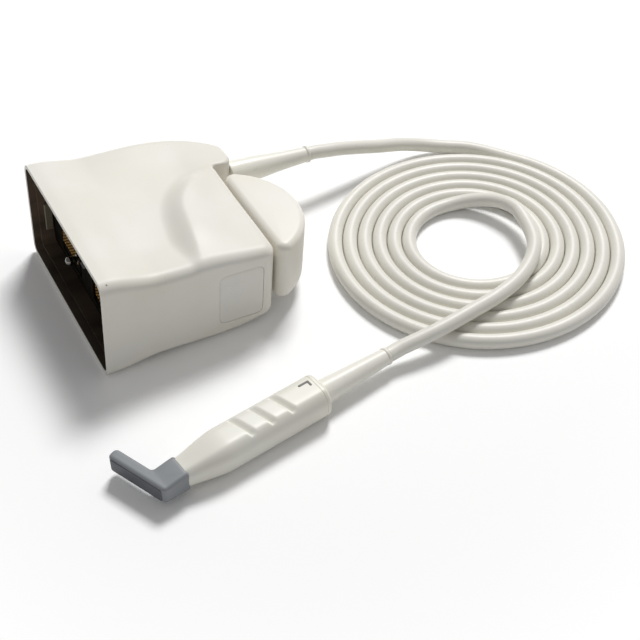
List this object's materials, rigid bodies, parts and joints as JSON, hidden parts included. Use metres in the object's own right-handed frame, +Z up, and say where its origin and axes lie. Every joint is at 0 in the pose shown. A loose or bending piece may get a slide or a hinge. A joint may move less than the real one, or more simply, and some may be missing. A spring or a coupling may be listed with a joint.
{
  "type": "ultrasound_transducer_probe",
  "caption": "Hockey-stick ultrasound probe with coiled cable and a plug-in connector that has a turning lock lever",
  "frame": {"origin": "middle of the footprint of everything but the cable, on the table", "axes": "+X from the connector's mouth towards its cable, +Y from the handset towards the connector, +Z up"},
  "size_m": [0.2613, 0.1626, 0.0485],
  "materials": {
    "housing_plastic": "satin moulded",
    "lever_plastic": "satin moulded",
    "label_film": "satin film",
    "cable_jacket": "satin",
    "handle_plastic": "satin moulded",
    "head_plastic": "satin moulded",
    "lens_rubber": "smooth",
    "dark_insulator": "moulded",
    "dark_shield": "coated",
    "contact_gold": "gold plated",
    "key_plastic": "moulded",
    "polished_steel": "polished",
    "brass": "turned",
    "circuit_board": "solder mask",
    "flex_film": "film",
    "array_ceramic": "sintered"
  },
  "bodies": {
    "probe": {"connector_housing": "housing_plastic", "side_label": "label_film", "inner_shield": "dark_shield", "contact_block": "dark_insulator", "contact_field_near": "contact_gold", "contact_field_far": "contact_gold", "guide_key": "key_plastic", "interface_board": "circuit_board", "coax_loom": "cable_jacket", "cable_clamp": "polished_steel", "shaft_bush": "brass", "connector_strain_relief": "cable_jacket", "cable_lead": "cable_jacket", "cable_coil": "cable_jacket", "cable_tail": "cable_jacket", "handset_strain_relief": "cable_jacket", "handle_end_cap": "handle_plastic", "handle_shell": "handle_plastic", "head_shell": "head_plastic", "acoustic_lens": "lens_rubber", "transducer_stack": "array_ceramic", "flex_circuit": "flex_film", "handle_board": "circuit_board", "cable_ferrule": "brass"},
    "lock": {"lock_lever": "lever_plastic", "lever_hub": "polished_steel", "actuator_shaft": "polished_steel", "cross_pin": "polished_steel", "shaft_collar": "polished_steel"}
  },
  "joints": [
    {"name": "lock_lever_turn", "type": "hinge", "parent": "probe", "child": "lock", "pos_m": [0.0254, 0.03559, 0.02164], "axis": [-0.9976, 0, 0.0688], "range_deg": [0, 90]}
  ]
}
